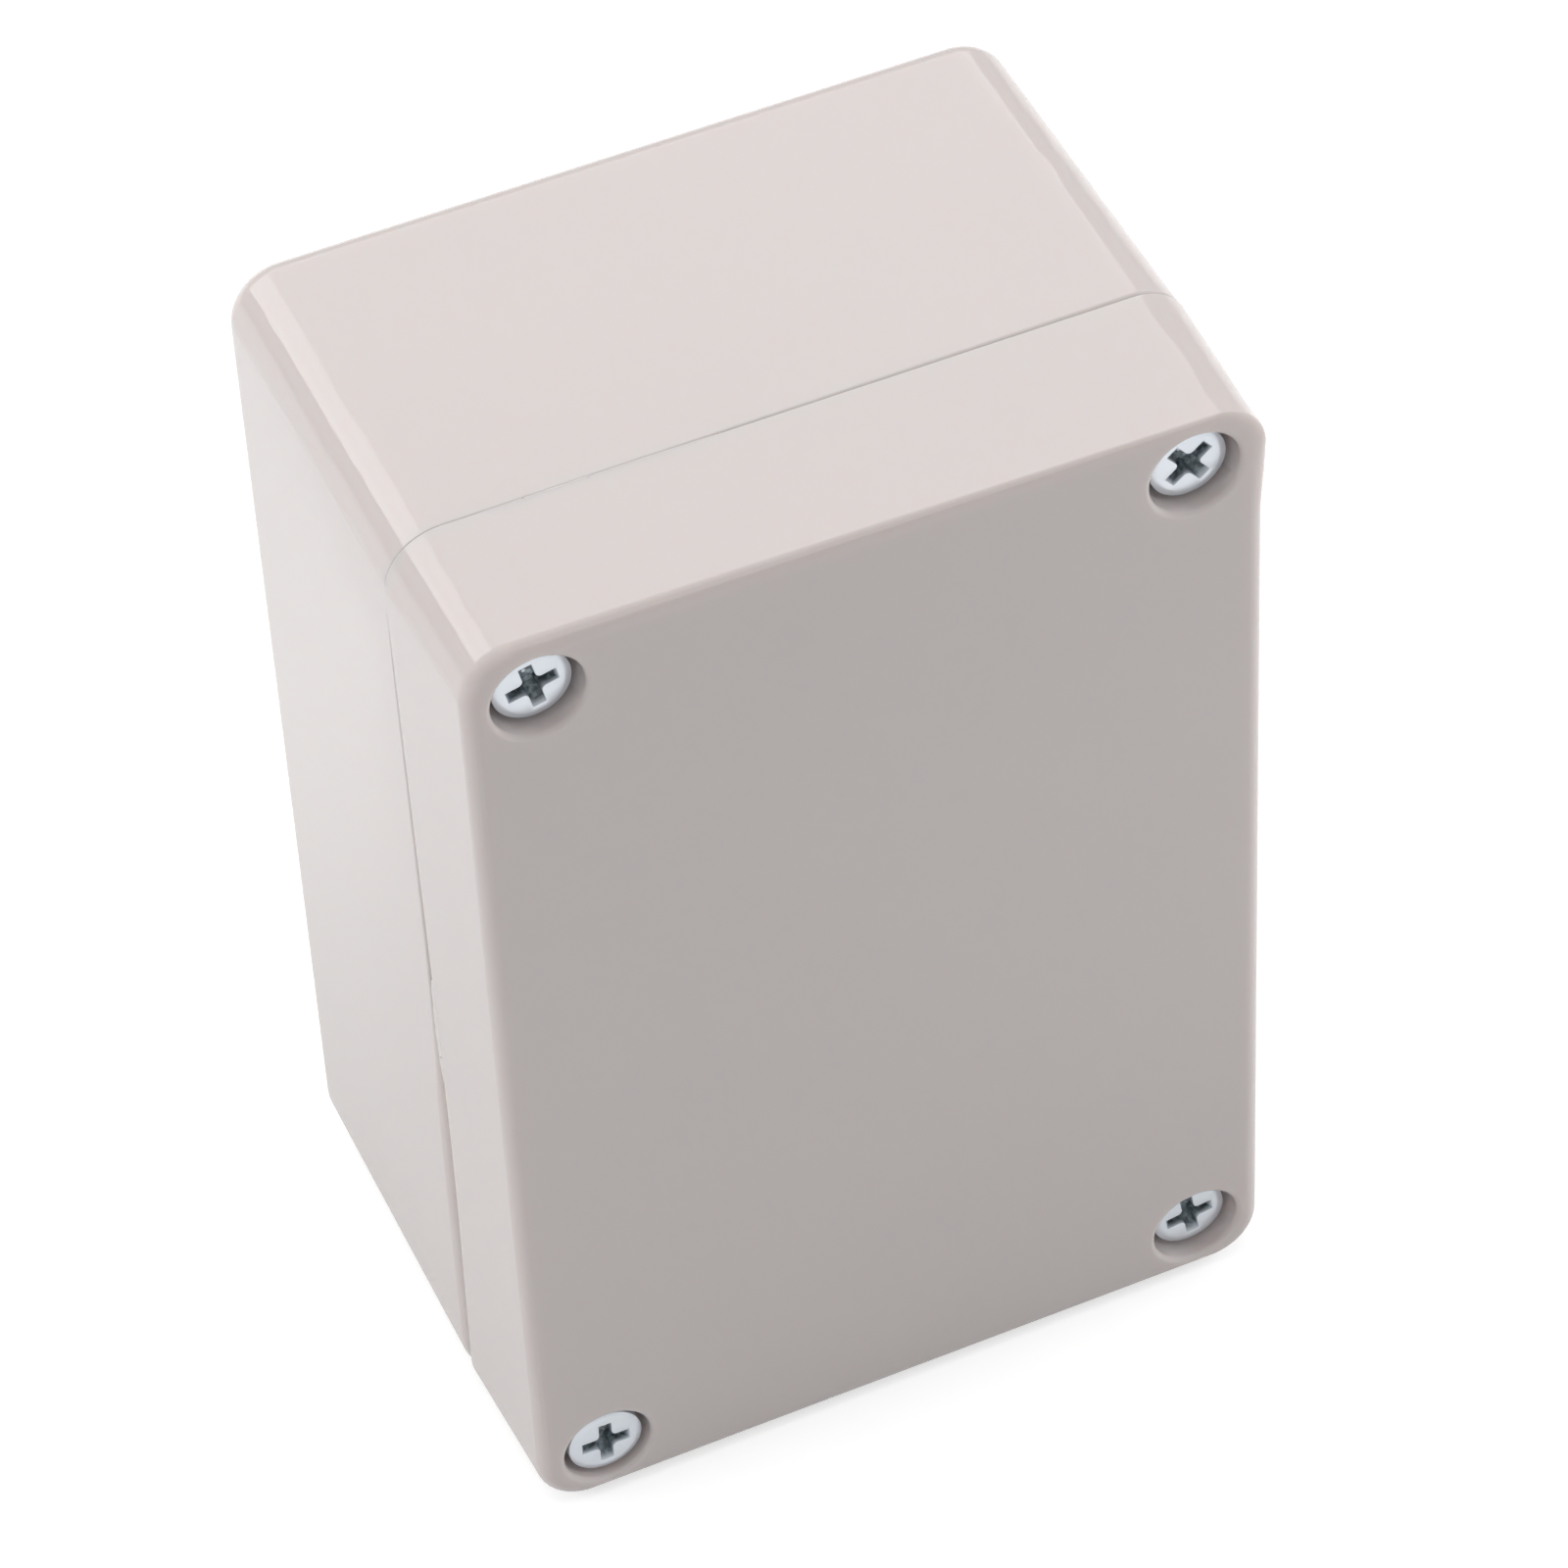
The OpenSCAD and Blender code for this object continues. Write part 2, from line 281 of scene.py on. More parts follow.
# %% The cards
def glossy_card(name, corners, brightness):
    """A bright card, given by its corners as seen from the box, which only glossy rays see."""
    mesh = bpy.data.meshes.new(name)
    mesh.from_pydata([box_middle + corner for corner in corners], [], [(0, 1, 2, 3)])
    card = bpy.data.objects.new(name, mesh)
    bpy.context.scene.collection.objects.link(card)
    card.visible_camera = False
    card.visible_diffuse = False
    card.visible_shadow = False
    card.visible_transmission = False
    finish = bpy.data.materials.new(name)
    finish.use_nodes = True
    shader = finish.node_tree
    shader.nodes.clear()
    glow = add_node(shader, "ShaderNodeEmission", inputs={"Strength": brightness})
    out = add_node(shader, "ShaderNodeOutputMaterial")
    join(glow.outputs[0], out.inputs[0])
    mesh.materials.append(finish)


stripe_distance = 1.3
stripe_half_height = 0.3
stripe_from = Vector((-0.226, 0.65, 0.726)).normalized() * stripe_distance
stripe_to = Vector((-0.632, 0.65, 0.422)).normalized() * stripe_distance
aside = (stripe_from + stripe_to).cross(stripe_to - stripe_from).normalized() * stripe_half_height
stripe_corners = (stripe_from - aside, stripe_to - aside, stripe_to + aside, stripe_from + aside)
stripe_brightness = 3.0
glossy_card("Stripe Card", stripe_corners, stripe_brightness)

wall_y = 1.12
wall_left = -0.62
wall_right = 0.95
wall_low = 0.60
wall_high = 1.54
wall_corners = (
    (wall_left, wall_low), (wall_right, wall_low), (wall_right, wall_high), (wall_left, wall_high))
wall_brightness = 1.8
glossy_card("Wall Card", [Vector((x, wall_y, z)) for x, z in wall_corners], wall_brightness)
bpy.context.scene.view_settings.view_transform = "Standard"
print("four lamps, two cards and the floor are in place")

# %% [markdown]
# ## Effects that several finishes share
#
# A moulded or plated surface is never one flat colour. Two small node groups hold what the
# finishes have in common: the faint unevenness of a moulded skin, and sparse specks of dust.
# Each group reads Object coordinates, in metres, and gives out only values. The Principled
# shader stays in each material, where its own sockets hold what is the same all over.

# %% Group: uneven skin
def group_ends(tree):
    """The inputs of a group as numbers by name, and the sockets of its outputs."""
    given = {socket.name: Number(socket) for socket in tree.nodes.new("NodeGroupInput").outputs}
    return given, tree.nodes.new("NodeGroupOutput").inputs


def new_group(name, inputs, outputs):
    """An empty shader group with named float inputs, given with their defaults, and outputs."""
    group = bpy.data.node_groups.new(name, "ShaderNodeTree")
    for label, value in inputs.items():
        group.interface.new_socket(label, in_out="INPUT", socket_type="NodeSocketFloat").default_value = value
    for label in outputs:
        group.interface.new_socket(label, in_out="OUTPUT", socket_type="NodeSocketFloat")
    return group, *group_ends(group)


def noise(tree, coordinates, size_mm, detail):
    """Noise of about that feature size, as a value from 0 to 1. The size is a number or a socket."""
    node = add_node(tree, "ShaderNodeTexNoise", inputs={"Detail": detail})
    join(coordinates, node.inputs["Vector"], 1 / MM / size_mm, node.inputs["Scale"])
    return node.outputs["Fac"]


skin, given, result = new_group("Uneven Skin", {"Grain mm": 0.5, "Cloud mm": 18.0}, ("Grain", "Cloud"))
coordinates = add_node(skin, "ShaderNodeTexCoord").outputs["Object"]
join(noise(skin, coordinates, given["Grain mm"], 3.0), result["Grain"],
     noise(skin, coordinates, given["Cloud mm"], 2.0), result["Cloud"])

# %% Group: dust specks
specks, given, result = new_group(
    "Dust Specks", {"Spacing mm": 9.0, "Size mm": 0.12, "Share": 0.3}, ("Mask",))
coordinates = add_node(specks, "ShaderNodeTexCoord").outputs["Object"]
cells = add_node(specks, "ShaderNodeTexVoronoi")
pick = add_node(specks, "ShaderNodeSeparateColor")
join(coordinates, cells.inputs["Vector"], 1 / MM / given["Spacing mm"], cells.inputs["Scale"],
     cells.outputs["Color"], pick.inputs[0])
distance_mm = given["Spacing mm"] * cells.outputs["Distance"]
near = maths("LESS_THAN", distance_mm, given["Size mm"] * pick.outputs["Green"])
chosen = maths("LESS_THAN", pick.outputs["Red"], given["Share"])
join(near * chosen, result["Mask"])
print("shader groups:", [g.name for g in bpy.data.node_groups])


# %% A material with the two effects in place
def finish_with_skin(name, colour, cloud_colour, roughness, bump_mm, grain_mm, cloud_mm, speck_colour,
                     **settings):
    """A Principled material whose colour, roughness and relief vary as the shared groups say."""
    material = bpy.data.materials.new(name)
    material.use_nodes = True
    tree = material.node_tree
    tree.nodes.clear()
    shader = add_node(tree, "ShaderNodeBsdfPrincipled", inputs=settings)
    out = add_node(tree, "ShaderNodeOutputMaterial")
    skin_node = add_node(tree, "ShaderNodeGroup", node_tree=skin)
    skin_node.inputs["Grain mm"].default_value = grain_mm
    skin_node.inputs["Cloud mm"].default_value = cloud_mm
    speck_node = add_node(tree, "ShaderNodeGroup", node_tree=specks)
    tone = add_node(tree, "ShaderNodeMix", data_type="RGBA", inputs={6: (*colour, 1), 7: (*cloud_colour, 1)})
    spotted = add_node(tree, "ShaderNodeMix", data_type="RGBA", inputs={7: (*speck_colour, 1)})
    gloss = add_node(tree, "ShaderNodeMapRange", inputs={3: roughness[0], 4: roughness[1]})
    relief = add_node(tree, "ShaderNodeBump", inputs={"Strength": 1.0, "Distance": bump_mm * MM})
    join(skin_node.outputs["Cloud"], tone.inputs[0], tone.outputs[2], spotted.inputs[6],
         speck_node.outputs["Mask"], spotted.inputs[0], spotted.outputs[2], shader.inputs["Base Color"],
         skin_node.outputs["Cloud"], gloss.inputs[0], gloss.outputs[0], shader.inputs["Roughness"],
         skin_node.outputs["Grain"], relief.inputs["Height"], relief.outputs[0], shader.inputs["Normal"],
         shader.outputs[0], out.inputs[0])
    return material


# %% [markdown]
# ## The moulded shells
#
# The base and the lid are ABS mouldings with a smooth, glossy skin and no texture that shows
# from a step away. A little light goes into such a plastic and comes out beside it, which softens
# its shadows, so the shader has some subsurface scattering. The solids already have the right
# form, but they come as loose triangles, which shade in facets. A copy of each is merged into
# one closed mesh, its curved faces are shaded smooth, and weighted normals keep the flat faces
# flat right up to the fillets.
#
# No two rims meet in a perfect line, so both copies get the small faults of this very box. Its
# lower left screw isn't quite home and the lid stands up there, its long left rim bows forward,
# the rim of the base is more worn low on the left, and the seam almost closes at the top left.
# Where that rim is worn, the points beside its larger round edge give way, so that no face folds
# over. Along the top of the face, the round edge is tighter than in the solid.

# %% The plastic
inside_light = {
    "Subsurface Weight": 0.55, "Subsurface Radius": (1.0, 0.72, 0.60), "Subsurface Scale": 2.0 * MM}
shell_plastic = finish_with_skin(
    "Warm Grey Plastic", colour=(0.705, 0.646, 0.631), cloud_colour=(0.690, 0.633, 0.621),
    roughness=(0.035, 0.05), bump_mm=0.0012, grain_mm=0.9, cloud_mm=25.0, speck_colour=(0.33, 0.31, 0.31),
    **{"IOR": 1.5, **inside_light})


# %% Smooth copies of the shells
smooth_angle = math.radians(32)
merge_distance = 0.002 * MM


def merged_copy(node_name, name):
    """A closed, smoothly shaded copy of a solid's mesh, as a new object at the origin."""
    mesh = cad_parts[node_name].data.copy()
    mesh.name = name
    mesh.materials.clear()
    work = bmesh.new()
    work.from_mesh(mesh)
    bmesh.ops.remove_doubles(work, verts=work.verts, dist=merge_distance)
    work.to_mesh(mesh)
    work.free()
    mesh.shade_smooth()
    mesh.set_sharp_from_angle(angle=smooth_angle)
    piece = bpy.data.objects.new(name, mesh)
    bpy.context.scene.collection.objects.link(piece)
    print(name, "has", len(mesh.polygons), "faces")
    return piece


def even_shading(piece, left_out=()):
    """Weighted normals, so that large flat faces stay flat, except at the points that are left out."""
    modifier = piece.modifiers.new("Weighted Normals", "WEIGHTED_NORMAL")
    modifier.mode = "FACE_AREA"
    modifier.weight = 100
    modifier.keep_sharp = True
    if left_out:
        group = piece.vertex_groups.new(name="Left Out")
        group.add(left_out, 1.0, "REPLACE")
        modifier.vertex_group = group.name
        modifier.invert_vertex_group = True


def ease(value):
    """A smooth step from 0 to 1."""
    value = min(max(value, 0.0), 1.0)
    return value * value * (3 - 2 * value)


# %% Helpers for the outline
straight_x = 29 * MM
straight_z = 45 * MM
middle_height = 50 * MM
bend_step = 4 * MM


def outline_place(place):
    """How far a point lies outside the middles of the corner arcs, and in which direction."""
    out_x = max(abs(place.x) - straight_x, 0.0)
    out_z = max(abs(place.z - middle_height) - straight_z, 0.0)
    signed_x = math.copysign(out_x, place.x)
    signed_z = math.copysign(out_z, place.z - middle_height)
    return math.hypot(out_x, out_z), Vector((signed_x, 0, signed_z))


def scale_round(vertex, reach, edge_y, radius, scale):
    """Scales the section of a round edge about the sharp corner that it rounds off."""
    out, direction = outline_place(vertex.co)
    inward = reach - out
    behind = vertex.co.y - edge_y
    slack = 0.01 * MM
    if out > 0 and -slack < inward < radius + slack and -slack < behind < radius + slack:
        vertex.co += direction.normalized() * inward * (1 - scale)
        vertex.co.y -= behind * (1 - scale)


def slice_up(work, top):
    """Cuts a mesh at even heights, so that it can bend."""
    level = bend_step
    while level < top:
        everything = [*work.verts, *work.edges, *work.faces]
        bmesh.ops.bisect_plane(work, geom=everything, plane_co=(0, 0, level), plane_no=(0, 0, 1),
                               dist=merge_distance)
        level += bend_step


def left_share(place):
    """1 at the left side of the box and 0 at the right side."""
    return 1 - (place.x - lid_low.x) / (lid_high.x - lid_low.x)


# %% The base, with its worn rim
base_reach = 4.9 * MM
base_rim_y = seam_y + 0.2 * MM
base_rim_round = 0.4 * MM
rim_slack = 0.01 * MM
round_slack = 5 * rim_slack
rim_width = 1.69 * MM
wall_reach = 6 * MM
worn_scale = 4.0
worn_corner = 2 * MM
worn_from = 50 * MM
worn_to = 30 * MM
sharp_scale = 0.3
top_start = 88 * MM
top_end = 94 * MM
base_bow = 0.42 * MM
base_bow_middle = 55 * MM
base_bow_reach = 42 * MM
base_bow_power = 6


def rim_scale(place):
    """How round the rim of the base is at a point, as a share of its round edge in the solid."""
    on_left = ease((-place.x - straight_x) / worn_corner)
    on_top = ease((place.z - top_start) / (top_end - top_start))
    worn = 1 + (worn_scale - 1) * on_left * ease((worn_from - place.z) / (worn_from - worn_to))
    return worn * (1 - (1 - sharp_scale) * on_top * left_share(place))


def make_room(away, scale, reach):
    """How far a point beside the round edge gives way: less and less up to the reach."""
    grown = base_rim_round * (scale - 1)
    return grown * (reach - away) / (reach - base_rim_round)


base_shell = merged_copy("base_box", "Base_Box")
work = bmesh.new()
work.from_mesh(base_shell.data)
slice_up(work, top_start)
work.verts.index_update()
flat_rim = {face for face in work.faces
            if all(abs(vertex.co.y - base_rim_y) < rim_slack for vertex in face.verts)}
rim_points = {vertex for face in flat_rim for vertex in face.verts}
for edge in work.edges:
    if sum(face in flat_rim for face in edge.link_faces) == 1:
        edge.smooth = False
round_points = []
for vertex in work.verts:
    out, direction = outline_place(vertex.co)
    inward = base_reach - out
    behind = vertex.co.y - base_rim_y
    round_scale = rim_scale(vertex.co)
    round_reach = base_rim_round + round_slack
    if inward < round_reach and -rim_slack < behind < round_reach:
        round_points.append(vertex.index)
        scale_round(vertex, base_reach, base_rim_y, base_rim_round, round_scale)
    elif vertex in rim_points:
        if inward < rim_width:
            vertex.co -= direction.normalized() * make_room(inward, round_scale, rim_width)
    elif inward < round_slack and 0 < behind < wall_reach:
        vertex.co.y += make_room(behind, round_scale, wall_reach)
        continue
    else:
        continue
    near_middle = ease(1 - abs(vertex.co.z - base_bow_middle) / base_bow_reach)
    vertex.co.y -= base_bow * near_middle * left_share(vertex.co) ** base_bow_power
work.to_mesh(base_shell.data)
work.free()
base_shell.data.materials.append(shell_plastic)
even_shading(base_shell, round_points)
print("the flat rim has", len(flat_rim), "faces and its round edge", len(round_points), "points")
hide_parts("base_box")
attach(base_shell, "base")

# %% The lid, lifted at one corner
corner_lift = 0.50 * MM
lift_height = 50 * MM
rim_bow = 1.45 * MM
bow_low = -2 * MM
bow_middle = 36 * MM
bow_high = 106 * MM
face_reach = 4.5 * MM
face_round = 1.5 * MM
face_scale = 0.25
soft_left = -31 * MM
soft_to = -22 * MM
closed_gap = 0.15 * MM
fade_power = 3
face_slack = 0.02 * MM


def lifted(place):
    """How far a point of the lid stands forward: its lower left corner, and its rim above that."""
    left = left_share(place)
    near_rim = (place.y - face_y) / (seam_y - face_y)
    lower_half = ease((place.z - bow_low) / (bow_middle - bow_low))
    upper_half = ease((bow_high - place.z) / (bow_high - bow_middle))
    bow = rim_bow * lower_half * upper_half * near_rim * left ** fade_power
    on_top = ease((place.z - top_start) / (top_end - top_start))
    closed = closed_gap * on_top * left * near_rim ** fade_power
    return corner_lift * ease(1 - place.z / lift_height) * left + bow - closed


def tighten_face_edge(vertex):
    """Makes the round edge of the face start more sharply along the top of the lid."""
    inward = face_reach - outline_place(vertex.co)[0]
    behind = vertex.co.y - face_y
    from_arc = abs(math.hypot(face_round - inward, face_round - behind) - face_round)
    if max(inward, behind) < face_round + face_slack and from_arc < face_slack:
        on_top = ease((vertex.co.z - top_start) / (top_end - top_start))
        past_corner = ease((vertex.co.x - soft_left) / (soft_to - soft_left))
        vertex.co.y = face_y + behind * (1 - (1 - face_scale) * on_top * past_corner)


lid_shell = merged_copy("lid_cover", "Lid_Cover")
work = bmesh.new()
work.from_mesh(lid_shell.data)
slice_up(work, lid_high.z - bend_step)
for vertex in work.verts:
    tighten_face_edge(vertex)
    vertex.co.y -= lifted(vertex.co)
work.to_mesh(lid_shell.data)
work.free()
lid_shell.data.materials.append(shell_plastic)
even_shading(lid_shell)
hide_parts("lid_cover")
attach(lid_shell, "lid")
print("the lid's lower left corner stands", round(corner_lift / MM, 2), "mm forward")

# %% [markdown]
# ## Trees for turned and threaded pieces
#
# A screw and an insert are turned on a lathe or rolled: every section across the axis is round,
# and a thread is a ridge that climbs by one pitch a turn. So both are made from a flat grid that
# is wound round the Z axis. One side of the grid counts the rings along the piece, and the other
# is the share of a full turn. For a thread, each ring climbs by one pitch as it goes round, so
# that it meets a later ring where it closes, and the crest stays sharp with few faces. The trees
# hold the shape, and named inputs hold the sizes.

# %% Helpers for shape trees
weld_distance = 0.001 * MM


def new_shape_tree(name, inputs):
    """A geometry tree with named inputs, each given as its kind and its default."""
    tree = bpy.data.node_groups.new(name, "GeometryNodeTree")
    tree.interface.new_socket("Geometry", in_out="INPUT", socket_type="NodeSocketGeometry")
    for label, (kind, value) in inputs.items():
        socket = tree.interface.new_socket(label, in_out="INPUT", socket_type="NodeSocket" + kind)
        if value is not None:
            socket.default_value = value
    tree.interface.new_socket("Geometry", in_out="OUTPUT", socket_type="NodeSocketGeometry")
    return tree, *group_ends(tree)


def choose(index, entries):
    """The entry with that number, where entries are numbers of the tree or plain ones."""
    node = add_node(plain(index).id_data, "GeometryNodeIndexSwitch", data_type="FLOAT")
    while len(node.index_switch_items) < len(entries):
        node.index_switch_items.new()
    join(index, node.inputs[0])
    for entry, socket in zip(entries, node.inputs[1:]):
        feed(entry, socket)
    return Number(node.outputs[0])


def flat_grid(tree, rings, segments):
    """A grid, with the number of its ring and the share of a turn at each of its points."""
    grid = add_node(tree, "GeometryNodeMeshGrid", inputs={"Size X": 1, "Size Y": 1})
    place = add_node(tree, "ShaderNodeSeparateXYZ")
    join(rings, grid.inputs["Vertices X"], segments + 1, grid.inputs["Vertices Y"],
         add_node(tree, "GeometryNodeInputPosition").outputs[0], place.inputs[0])
    share_of_rings = Number(place.outputs["X"]) + 0.5
    share_of_turn = Number(place.outputs["Y"]) + 0.5
    return grid.outputs["Mesh"], maths("ROUND", share_of_rings * (rings - 1)), share_of_turn


def wound(tree, mesh, radius, turn, height):
    """Winds the grid round the Z axis, and welds its seam and its poles."""
    angle = turn * (2 * math.pi)
    place = add_node(tree, "ShaderNodeCombineXYZ")
    moved = add_node(tree, "GeometryNodeSetPosition")
    weld = add_node(tree, "GeometryNodeMergeByDistance", inputs={"Distance": weld_distance})
    outward = add_node(tree, "GeometryNodeFlipFaces")
    join(radius * maths("COSINE", angle), place.inputs["X"],
         radius * maths("SINE", angle), place.inputs["Y"], height, place.inputs["Z"],
         place.outputs[0], moved.inputs["Position"], mesh, moved.inputs["Geometry"],
         moved.outputs[0], weld.inputs["Geometry"], weld.outputs[0], outward.inputs[0])
    return outward.outputs[0]


def stand_up(tree, mesh, place, finish, output):
    """Turns a piece from +Z to the front, moves it to its place and gives it its finish."""
    turned = add_node(tree, "GeometryNodeTransform")
    turned.inputs["Rotation"].default_value = (math.radians(90), 0, 0)
    real = add_node(tree, "GeometryNodeRealizeInstances")
    coated = add_node(tree, "GeometryNodeSetMaterial")
    join(mesh, turned.inputs["Geometry"], place, turned.inputs["Translation"],
         turned.outputs[0], real.inputs[0], real.outputs[0], coated.inputs["Geometry"],
         finish, coated.inputs["Material"], coated.outputs[0], output)


# %% Tree: a threaded rod
rings_a_turn = 4
profile_climb = (0.0, 0.36, 0.60, 0.74)
profile_depth = (0.0, 0.0, 1.0, 1.0)
rod, given, result = new_shape_tree("Threaded Rod", {
    "Root Radius": ("Float", 1.0 * MM), "Crest Radius": ("Float", 1.2 * MM),
    "Pitch": ("Float", 0.6 * MM), "Lower": ("Float", 0.0), "Upper": ("Float", 10 * MM),
    "Tip": ("Float", 0.5 * MM), "Segments": ("Int", 32)})
turns = maths("CEIL", (given["Upper"] - given["Lower"]) / given["Pitch"]) + 1
thread_rings = turns * rings_a_turn + 1
mesh, ring, turn = flat_grid(rod, thread_rings + 3, given["Segments"])
step = maths("MAXIMUM", ring - 2, 0)
phase = maths("MODULO", step, rings_a_turn)
climb = maths("FLOOR", step / rings_a_turn) + choose(phase, profile_climb) + turn - 1
height = climb * given["Pitch"] + given["Lower"]
height = maths("MAXIMUM", maths("MINIMUM", height, given["Upper"]), given["Lower"])
from_lower = (height - given["Lower"]) / given["Pitch"]
from_upper = (given["Upper"] - height) / given["Pitch"]
run_out = maths("MINIMUM", maths("MINIMUM", from_lower, from_upper), 1)
tooth = run_out * choose(phase, profile_depth)
radius = tooth * (given["Crest Radius"] - given["Root Radius"]) + given["Root Radius"]
tip_radius = given["Root Radius"] - given["Tip"] * 0.5
tip_height = given["Lower"] - given["Tip"]
part = maths("MINIMUM", ring, 2) + maths("GREATER_THAN", ring, thread_rings + 1.5)
mesh = wound(rod, mesh, choose(part, (0.0, tip_radius, radius, 0.0)), turn,
             choose(part, (tip_height, tip_height, height, given["Upper"])))
join(mesh, result[0])


def threaded_rod(tree, **values):
    """The threaded rod inside another tree, with its inputs fed from sockets or numbers."""
    node = add_node(tree, "GeometryNodeGroup", node_tree=rod)
    for label, value in values.items():
        feed(value, node.inputs[label.replace("_", " ")])
    return node.outputs[0]


# %% [markdown]
# ## Flash in the seam
#
# Where two halves of a mould don't close quite tight, a paper-thin sliver of plastic is left on
# the parting edge. The photograph shows it in two places on the rim of this lid: along the left
# seam, where it bridges the open gap, and at the top left, where the seam almost vanishes. A
# tree makes it as a thin closed strip whose free edge wanders, with a few torn bits along it.
# The strip is then bent with the lid.

# %% Tree: a sliver of flash
flash, given, result = new_shape_tree("Seam Flash", {
    "Start": ("Vector", (0, 0, 0)), "End": ("Vector", (0.01, 0, 0)), "Across": ("Vector", (0, 0.001, 0)),
    "Thickness": ("Float", 0.06 * MM), "Steps": ("Int", 60), "Ripples": ("Float", 7.0),
    "Seed": ("Float", 0.0), "Bits": ("Int", 6), "Bit Size": ("Float", 0.06 * MM),
    "Finish": ("Material", None)})


def vector_maths(operation, *values):
    """A Vector Math node in the tree of its first value, as a socket."""
    node = add_node(plain(values[0]).id_data, "ShaderNodeVectorMath", operation=operation)
    for value, socket in zip(values, node.inputs):
        feed(value, socket)
    return node.outputs[0]


def scaled(vector, share):
    """A vector times a number."""
    node = add_node(plain(vector).id_data, "ShaderNodeVectorMath", operation="SCALE")
    join(vector, node.inputs[0], share, node.inputs["Scale"])
    return node.outputs[0]


swell_power = 0.4
ripple_share = 0.7
plain_share = 0.45
least_share = 0.08


def free_edge(share, seed, ripples):
    """How wide the sliver is at a share of its length: uneven, and narrow at both ends."""
    ripple = add_node(flash, "ShaderNodeTexNoise", noise_dimensions="1D",
                      inputs={"Detail": 3.0, "Scale": 1.0})
    join(maths("MULTIPLY_ADD", share, ripples, seed), ripple.inputs["W"])
    swell = maths("POWER", maths("SINE", share * math.pi), swell_power)
    uneven = maths("MULTIPLY_ADD", ripple.outputs["Fac"], ripple_share, plain_share)
    return maths("MAXIMUM", uneven * swell, least_share)


along_it = vector_maths("SUBTRACT", given["End"], given["Start"])
off_rim = vector_maths("NORMALIZE", vector_maths("CROSS_PRODUCT", along_it, given["Across"]))
block = add_node(flash, "GeometryNodeMeshCube", inputs={"Size": (1, 1, 1), "Vertices Y": 2, "Vertices Z": 2})
share_of = add_node(flash, "ShaderNodeSeparateXYZ")
join(given["Steps"], block.inputs["Vertices X"],
     add_node(flash, "GeometryNodeInputPosition").outputs[0], share_of.inputs[0])
share = Number(share_of.outputs["X"]) + 0.5
side = Number(share_of.outputs["Y"]) + 0.5
width = side * free_edge(share, given["Seed"], given["Ripples"])
depth = Number(share_of.outputs["Z"]) * given["Thickness"]
place = vector_maths("ADD", given["Start"], scaled(along_it, share))
place = vector_maths("ADD", place, scaled(given["Across"], width))
place = vector_maths("ADD", place, scaled(off_rim, depth))
strip = add_node(flash, "GeometryNodeSetPosition")
join(block.outputs["Mesh"], strip.inputs["Geometry"], place, strip.inputs["Position"])
line = add_node(flash, "GeometryNodeMeshLine", mode="END_POINTS")
join(given["Bits"], line.inputs["Count"], given["Start"], line.inputs["Start Location"],
     given["End"], line.inputs["Offset"])
wander = add_node(flash, "FunctionNodeRandomValue", data_type="FLOAT_VECTOR",
                  inputs={0: (-1, -1, -1), 1: (1, 1, 1)})
stray = scaled(wander.outputs[0], given["Bit Size"] * 2.0)
strewn = add_node(flash, "GeometryNodeSetPosition")
join(line.outputs[0], strewn.inputs["Geometry"], stray, strewn.inputs["Offset"])
crumb = add_node(flash, "GeometryNodeMeshIcoSphere", inputs={"Subdivisions": 2})
join(given["Bit Size"], crumb.inputs["Radius"])
stretch = add_node(flash, "FunctionNodeRandomValue", data_type="FLOAT_VECTOR",
                   inputs={0: (0.5, 0.4, 0.5), 1: (1.6, 0.9, 1.6), "Seed": 3})
bits = add_node(flash, "GeometryNodeInstanceOnPoints")
together = add_node(flash, "GeometryNodeJoinGeometry")
real = add_node(flash, "GeometryNodeRealizeInstances")
coated = add_node(flash, "GeometryNodeSetMaterial")
join(strewn.outputs[0], bits.inputs["Points"], crumb.outputs["Mesh"], bits.inputs["Instance"],
     stretch.outputs[0], bits.inputs["Scale"], strip.outputs[0], together.inputs[0],
     bits.outputs[0], together.inputs[0], together.outputs[0], real.inputs[0],
     real.outputs[0], coated.inputs["Geometry"], given["Finish"], coated.inputs["Material"],
     coated.outputs[0], result[0])

# %% [markdown]
# ## The lid screws
#
# They are M3.5 machine screws, zinc plated and passivated to a bluish white. The head is pressed
# with a flat top, a soft slope around it and a cross recess whose arms narrow downwards, and the
# thread is rolled. The recess is cut out of the head with a solid of the same form as the punch
# that makes it: a cross whose arms meet in round inner corners, and which narrows to a blunt
# point. Edges of the recess are marked for a fine bevel, because a pressed edge is never sharp,
# and it is what gives off the small glints in the photograph. The depth is stored at each point,
# and shade is painted into the recess there: the finish darkens with depth, in streaks. The
# film of the passivation mirrors less than bare zinc, so the finish is only half metallic.

# %% Tree: a cross-recess screw
screw, given, result = new_shape_tree("Cross-Recess Screw", {
    "Head Diameter": ("Float", 6.4 * MM), "Head Height": ("Float", 2.4 * MM),
    "Slope Width": ("Float", 0.60 * MM), "Slope Height": ("Float", 0.17 * MM),
    "Arm Span": ("Float", 4.4 * MM), "Arm Width": ("Float", 1.15 * MM), "Recess Depth": ("Float", 1.7 * MM),
    "Inner Radius": ("Float", 0.45 * MM), "Thread Diameter": ("Float", 3.5 * MM),
    "Thread Depth": ("Float", 0.32 * MM), "Pitch": ("Float", 0.6 * MM), "Shank Length": ("Float", 20 * MM),
    "Tip": ("Float", 0.8 * MM), "Turn": ("Float", 0.0), "Place": ("Vector", (0, 0, 0)),
    "Finish": ("Material", None)})
soft = 0.05 * MM
head_segments = 64
radius = given["Head Diameter"] * 0.5
top = given["Head Height"]
inner = radius - given["Slope Width"]
start = top - given["Slope Height"]
